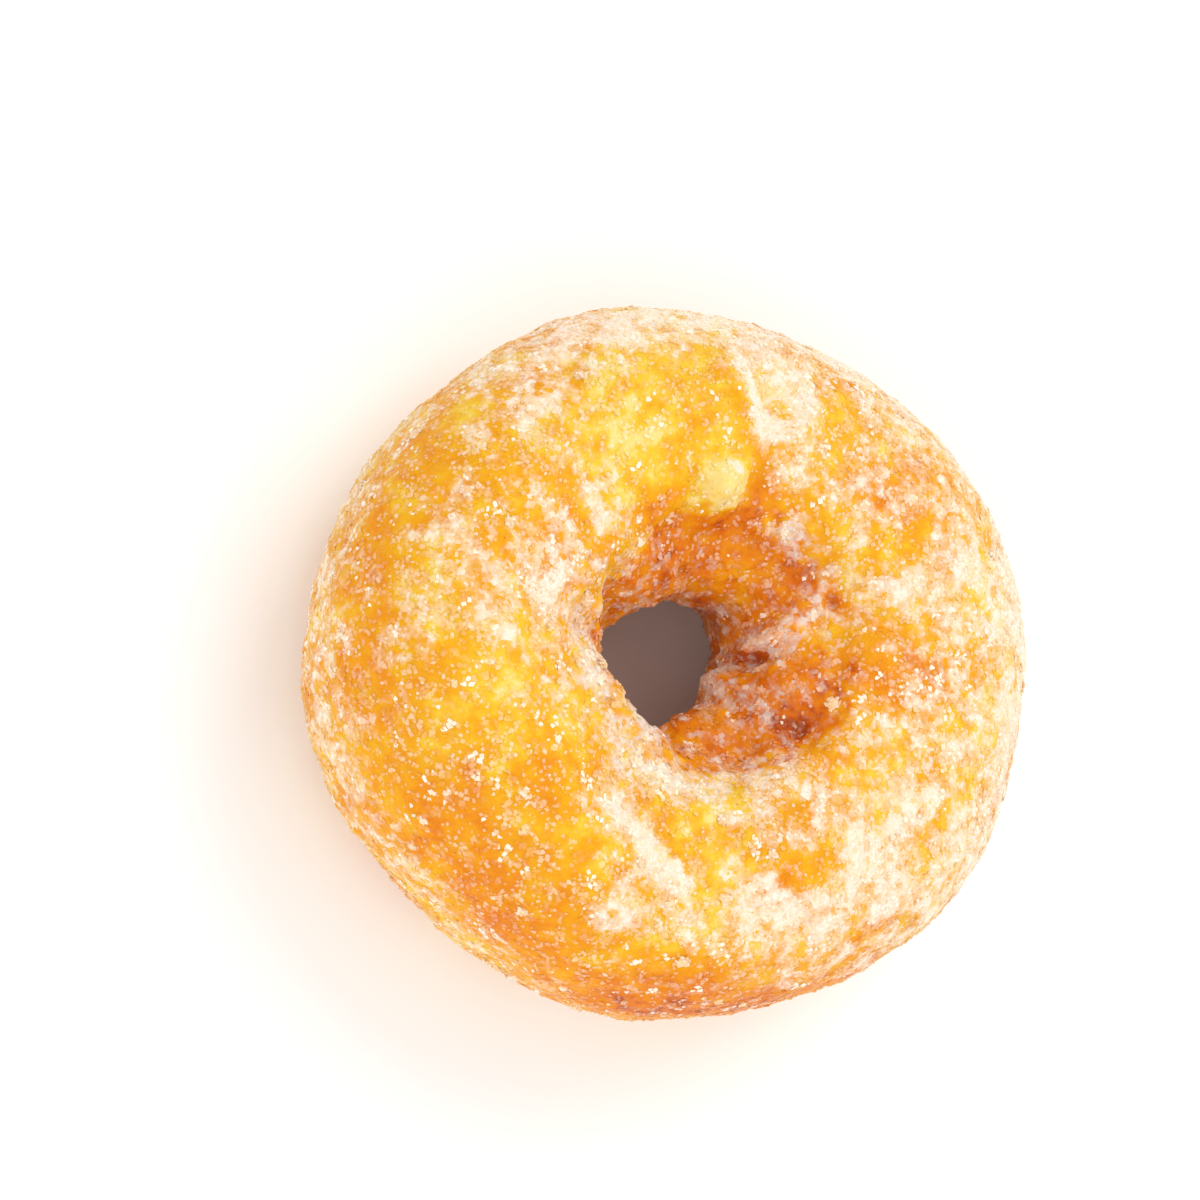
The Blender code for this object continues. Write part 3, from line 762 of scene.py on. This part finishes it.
def grain_whiteness(drift, group, white_share, rng):
    """How white each grain is: more on a drift, uneven, and for some of the groups much more."""
    groups = len(drift) // group
    uneven = np.repeat(rng.normal(0.0, GROUP_UNEVEN, groups), group)
    uneven += rng.normal(0.0, GRAIN_UNEVEN, len(drift))
    whiteness = BARE_WHITENESS + (DRIFT_WHITENESS - BARE_WHITENESS) * drift + uneven
    whiteness += np.repeat(rng.random(groups) < white_share, group) * WHITE_EXTRA
    return np.clip(whiteness, 0.0, 1.0)


def make_grains(kind, shift):
    """Single grains of one kind, lying flat on the crust and partly sunk in it."""
    name, blocky, count, group, smallest, largest, flatness, bare_share, white_share, seed = kind
    rng = np.random.default_rng(seed)
    turn, tube = scatter(count, group, bare_share, largest, rng)
    points, normals, share = surface(turn, tube)
    drift = smooth_step(share, DRIFT_START, DRIFT_FULL)
    sizes = rng.uniform(smallest, largest, count)
    lift = sizes * (rng.uniform(*GRAIN_LIFT, count) - DRIFT_SINK * drift)
    middles = points + normals * lift[:, None] + shift
    corners, faces = crystals(blocky, middles, normals, sizes, flatness, rng)
    whiteness = grain_whiteness(drift, group, white_share, rng)
    browning_and_shade = crust_browning_and_shade(turn, tube, points)
    each = len(corners) // count
    spread = [np.repeat(values, each, axis=0) for values in (whiteness, browning_and_shade, normals)]
    return make_sugar(name, corners, faces, *spread)


def clump_ball():
    """A plain ball of twelve corners: its corners and its triangles."""
    bm = bmesh.new()
    bmesh.ops.create_icosphere(bm, subdivisions=1, radius=1.0)
    corners = [vertex.co.copy() for vertex in bm.verts]
    faces = np.array([[vertex.index for vertex in face.verts] for face in bm.faces], int)
    bm.free()
    return corners, faces


def clump_corners(ball, place, normal, rng):
    """Corners of one clump: the ball made uneven, flattened on the crust and partly sunk in it."""
    point = place[0]
    normal = Vector(normal)
    radius = CLUMP_RADIUS * (1 + rng.uniform(-CLUMP_SPREAD, CLUMP_SPREAD))
    spin = Euler([rng.uniform(0, 2 * math.pi) for _ in range(3)]).to_matrix()
    lie = normal.to_track_quat("Z", "Y").to_matrix()
    corners = []
    for corner in ball:
        uneven = (spin @ corner) * radius * (1 + rng.uniform(-CLUMP_ROUGHNESS, CLUMP_ROUGHNESS))
        uneven.z *= CLUMP_FLATNESS
        corners.append(point - normal * radius * CLUMP_SUNK + lie @ uneven)
    return np.array(corners)


def shift_to_axis(clumps):
    """The move that puts the middle of the box of ring and clumps on the Z axis."""
    round_ring = np.linspace(0, 2 * math.pi, BOX_RING_STEPS)
    round_tube = np.linspace(0, 2 * math.pi, BOX_TUBE_STEPS)
    turn, tube = np.meshgrid(round_ring, round_tube)
    points = np.concatenate([crust(turn.ravel(), tube.ravel()), *clumps])
    middle = (points.min(axis=0) + points.max(axis=0)) / 2
    return np.array([-middle[0], -middle[1], 0.0])


def drawn_in(points, corners, share):
    """The points, drawn in towards the middle of the clump to this share of their distance."""
    return points * share + corners.mean(axis=0) * (1 - share)


def clump_grain_middles(clumps, ball_faces, rng):
    """Middles of the crystals, strewn over the faces of each clump."""
    middles = []
    for corners in clumps:
        three = corners[ball_faces[rng.integers(len(ball_faces), size=CLUMP_GRAINS)]]
        weights = rng.dirichlet((1.0, 1.0, 1.0), CLUMP_GRAINS)[:, :, None]
        middles.append(drawn_in((three * weights).sum(axis=1), corners, CLUMP_HOLD))
    return np.concatenate(middles)


def make_clumps(clumps, outward, ball_faces, shift):
    """Each clump is a rough core with small crystals stuck all over it."""
    rng = np.random.default_rng(CLUMP_SEED)
    middles = clump_grain_middles(clumps, ball_faces, rng)
    normals = np.repeat(outward, CLUMP_GRAINS, axis=0)
    sizes = rng.uniform(*CLUMP_GRAIN_SIZE, len(middles))
    points, faces = crystals(False, middles, normals, sizes, CLUMP_GRAIN_FLATNESS, rng)
    each, core_each = len(points) // len(middles), len(clumps[0])
    whiteness = np.repeat(rng.uniform(*CLUMP_WHITENESS, len(middles)), each)
    cores = np.concatenate([drawn_in(corners, corners, CLUMP_CORE) for corners in clumps])
    first = len(points) + (np.arange(len(clumps)) * core_each)[:, None, None]
    core_faces = (ball_faces[None] + first).reshape(-1, 3)
    return make_sugar(
        "sugar_clumps",
        np.concatenate([points, cores]) + shift,
        np.concatenate([faces, core_faces]),
        np.concatenate([whiteness, np.full(len(cores), CORE_WHITENESS)]),
        np.full(len(points) + len(cores), BROWN_BASE),
        np.concatenate([np.repeat(normals, each, axis=0), np.repeat(outward, core_each, axis=0)]),
    )


def new_material(name):
    """An empty Principled material, with its node tree and its shader."""
    material = bpy.data.materials.new(name)
    material.use_nodes = True
    tree = material.node_tree
    return material, tree, tree.nodes["Principled BSDF"]


def put(tree, kind, **values):
    """A node with these properties."""
    made = tree.nodes.new(kind)
    for key, value in values.items():
        setattr(made, key, value)
    return made


def number(tree, name):
    """A number that the mesh keeps for each vertex."""
    return put(tree, "ShaderNodeAttribute", attribute_name=name).outputs["Fac"]


def maths(tree, operation, first, second, third=None):
    """Arithmetic on sockets or plain numbers."""
    made = put(tree, "ShaderNodeMath", operation=operation)
    for socket, value in zip(made.inputs, (first, second, third)):
        if isinstance(value, bpy.types.NodeSocket):
            tree.links.new(value, socket)
        elif value is not None:
            socket.default_value = value
    return made.outputs["Value"]


def grain_noise(tree, size, detail=3.0, roughness=0.6, place=None):
    """Noise whose features are about this size, on the piece's own coordinates or at a place."""
    place = place or put(tree, "ShaderNodeTexCoord").outputs["Object"]
    made = put(tree, "ShaderNodeTexNoise")
    tree.links.new(place, made.inputs["Vector"])
    made.inputs["Scale"].default_value = 1.0 / size
    made.inputs["Detail"].default_value = detail
    made.inputs["Roughness"].default_value = roughness
    return made.outputs["Fac"]


def cells(tree, size, output):
    """One output of Voronoi cells of about this size."""
    place = put(tree, "ShaderNodeTexCoord").outputs["Object"]
    made = put(tree, "ShaderNodeTexVoronoi")
    tree.links.new(place, made.inputs["Vector"])
    made.inputs["Scale"].default_value = 1.0 / size
    return made.outputs[output]


def ramp(tree, factor, stops):
    """A colour ramp through these stops, each a place and a colour."""
    made = put(tree, "ShaderNodeValToRGB")
    tree.links.new(factor, made.inputs["Fac"])
    line = made.color_ramp.elements
    line[0].position, line[1].position = stops[0][0], stops[-1][0]
    line[0].color, line[1].color = (*stops[0][1], 1.0), (*stops[-1][1], 1.0)
    for place, colour in stops[1:-1]:
        line.new(place).color = (*colour, 1.0)
    return made.outputs["Color"]


def blend_colours(tree, factor, first, second):
    """From the first colour to the second, as the factor goes from 0 to 1."""
    made = put(tree, "ShaderNodeMix", data_type="RGBA")
    tree.links.new(factor, made.inputs["Factor"])
    tree.links.new(first, made.inputs["A"])
    tree.links.new(second, made.inputs["B"])
    return made.outputs["Result"]


def uneven_number(tree, base, uneven, strength):
    """The base, made uneven by noise, whose own middle is a half."""
    return maths(tree, "MULTIPLY_ADD", maths(tree, "SUBTRACT", uneven, 0.5), strength, base)


def softened_normal(tree, share):
    """The normal, turned by this share towards outward, because light spreads in small grains."""
    facing = put(tree, "ShaderNodeNewGeometry").outputs["Normal"]
    outward = put(tree, "ShaderNodeAttribute", attribute_name="outward").outputs["Vector"]
    mixed = put(tree, "ShaderNodeMix", data_type="VECTOR")
    mixed.inputs["Factor"].default_value = share
    tree.links.new(facing, mixed.inputs["A"])
    tree.links.new(outward, mixed.inputs["B"])
    unit = put(tree, "ShaderNodeVectorMath", operation="NORMALIZE")
    tree.links.new(mixed.outputs["Result"], unit.inputs[0])
    return unit.outputs["Vector"]


def dough_colour(tree, tone):
    """Fried crust from yellow to brown."""
    return ramp(tree, tone, DOUGH_COLOURS)


def film_cover(tree):
    """How closely crushed sugar covers the crust, the same all over each crushed grain."""
    speckle = grain_noise(tree, MOTTLING, place=cells(tree, CRUSHED_GRAIN, "Position"))
    film = put(tree, "ShaderNodeMapRange", interpolation_type="SMOOTHSTEP")
    share = uneven_number(tree, number(tree, "sugar"), speckle, FILM_UNEVEN)
    tree.links.new(share, film.inputs["Value"])
    film.inputs["From Min"].default_value = FILM_START
    film.inputs["From Max"].default_value = FILM_FULL
    film.inputs["To Max"].default_value = FILM_MOST
    return film.outputs["Result"]


def film_colour(tree):
    """Crushed sugar, each grain a little different, and greyed on the wall of the hole as painted
    shade.
    """
    bright = ramp(tree, cells(tree, CRUSHED_GRAIN, "Color"), CRUSHED_COLOURS)
    shaded_film = ramp(tree, cells(tree, CRUSHED_GRAIN, "Color"), SHADED_FILM_COLOURS)
    return blend_colours(tree, number(tree, "depth"), bright, shaded_film)


def crust_bump(tree, fine):
    """Normal of the crust's finest relief, in which each crushed grain is a small dome."""
    domes = cells(tree, CRUSHED_GRAIN, "Distance")
    bump = put(tree, "ShaderNodeBump")
    bump.inputs["Strength"].default_value = 0.5
    bump.inputs["Distance"].default_value = 0.25 * MM
    tree.links.new(maths(tree, "MULTIPLY_ADD", domes, GRAIN_FALL, fine), bump.inputs["Height"])
    return bump.outputs["Normal"]


def crust_material():
    """Fried crust under a broken film of crushed sugar."""
    material, tree, shader = new_material("fried_crust")
    fine = grain_noise(tree, MOTTLING, 4.0)
    dough = dough_colour(tree, uneven_number(tree, number(tree, "browning_and_shade"), fine, TONE_UNEVEN))
    cover = film_cover(tree)
    colour = blend_colours(tree, cover, dough, film_colour(tree))
    tree.links.new(colour, shader.inputs["Base Color"])
    rough = maths(tree, "MULTIPLY_ADD", cover, FILM_ROUGHER, CRUST_ROUGHNESS)
    tree.links.new(rough, shader.inputs["Roughness"])
    tree.links.new(crust_bump(tree, fine), shader.inputs["Normal"])
    shader.inputs["Specular IOR Level"].default_value = 0.12
    shader.inputs["Subsurface Weight"].default_value = 0.25
    shader.inputs["Subsurface Radius"].default_value = (1.0, 0.45, 0.12)
    shader.inputs["Subsurface Scale"].default_value = 1.5 * MM
    return material


def sugar_material():
    """Sugar crystals, from clear ones that take the colour of the crust to white ones."""
    made = bpy.data.materials.get("sugar_crystals")
    if made:
        return made
    material, tree, shader = new_material("sugar_crystals")
    white = ramp(tree, grain_noise(tree, CRYSTAL_CLOUDS, 2.0), WHITE_COLOURS)
    clear = dough_colour(tree, number(tree, "browning_and_shade"))
    colour = blend_colours(tree, number(tree, "whiteness"), clear, white)
    tree.links.new(colour, shader.inputs["Base Color"])
    tree.links.new(softened_normal(tree, CRYSTAL_SOFTNESS), shader.inputs["Normal"])
    shader.inputs["Roughness"].default_value = 0.5
    shader.inputs["Specular IOR Level"].default_value = 0.0
    shader.inputs["Coat Weight"].default_value = 0.5
    shader.inputs["Coat Roughness"].default_value = 0.25
    shader.inputs["Coat IOR"].default_value = 1.54
    return material


def floor_material():
    """Plain white table."""
    material, tree, shader = new_material("pale_floor")
    tint = ramp(tree, grain_noise(tree, FLOOR_MOTTLING, 2.0), FLOOR_COLOURS)
    tree.links.new(tint, shader.inputs["Base Color"])
    shader.inputs["Roughness"].default_value = 0.7
    return material


def make_floor():
    """The table, which isn't part of the doughnut."""
    bm = bmesh.new()
    bmesh.ops.create_grid(bm, x_segments=1, y_segments=1, size=FLOOR_REACH)
    mesh = bpy.data.meshes.new("floor")
    bm.to_mesh(mesh)
    bm.free()
    mesh.materials.append(floor_material())
    floor = add_object("floor", mesh)


def camera_axes():
    """The camera's backward, right and upward directions, before it is aimed off centre."""
    lean = math.sin(TILT)
    back = Vector((lean * math.cos(TURN), lean * math.sin(TURN), math.cos(TILT)))
    right = Vector((0, 1, 0)).cross(back).normalized()
    return back, right, back.cross(right)


def make_camera():
    """The photograph's view, from the left of straight above, aimed beside the ring."""
    back, right, up = camera_axes()
    data = bpy.data.cameras.new("camera")
    data.sensor_width = SENSOR
    data.lens = PIXELS_PER_METRE * DISTANCE / IMAGE_SIZE * SENSOR
    camera = add_object("camera", data)
    aim = Vector((0, 0, AIM_HEIGHT))
    beside = (IMAGE_SIZE / 2 - AIM_PIXEL_X) / PIXELS_PER_METRE
    above = (AIM_PIXEL_Y - IMAGE_SIZE / 2) / PIXELS_PER_METRE
    place = aim + back * DISTANCE
    middle = aim + right * beside + up * above
    z = (place - middle).normalized()
    x = up.cross(z).normalized()
    axes = Matrix((x, z.cross(x), z)).transposed().to_4x4()
    camera.matrix_world = Matrix.Translation(place) @ axes
    bpy.context.scene.camera = camera


def add_softbox(name, place, size, power, colour):
    """A square area light that faces the ring."""
    data = bpy.data.lights.new(name, "AREA")
    data.shape = "SQUARE"
    data.size = size
    data.energy = power
    data.color = colour
    lamp = add_object(name, data)
    lamp.location = place
    towards = Vector((0, 0, AIM_HEIGHT)) - Vector(place)
    lamp.rotation_euler = towards.to_track_quat("-Z", "Y").to_euler()


def light_the_scene():
    """A bright white room with a large soft light from the upper right."""
    scene = bpy.context.scene
    world = bpy.data.worlds.new("white_room")
    world.use_nodes = True
    background = world.node_tree.nodes["Background"]
    background.inputs["Color"].default_value = (1.0, 1.0, 1.0, 1.0)
    background.inputs["Strength"].default_value = ROOM_BRIGHTNESS
    scene.world = world
    for softbox in SOFTBOXES:
        add_softbox(*softbox)
    scene.view_settings.view_transform = "Standard"


def finish_piece(piece):
    """Puts the piece on the doughnut's body."""
    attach(piece, "root")


def main():
    rng = random.Random(CLUMP_SEED)
    places = clump_places(rng)
    outward = [crust_normals(np.array([turn]), np.array([tube])) for _, turn, tube in places]
    outward = np.concatenate(outward)
    ball, ball_faces = clump_ball()
    clumps = [clump_corners(ball, place, normal, rng) for place, normal in zip(places, outward)]
    shift = shift_to_axis(clumps)
    ring = make_ring(shift)
    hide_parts("doughnut")
    finish_piece(ring)
    finish_piece(make_clumps(clumps, outward, ball_faces, shift))
    for kind in GRAINS:
        finish_piece(make_grains(kind, shift))
    make_floor()
    make_camera()
    light_the_scene()
    bpy.context.view_layer.update()


main()
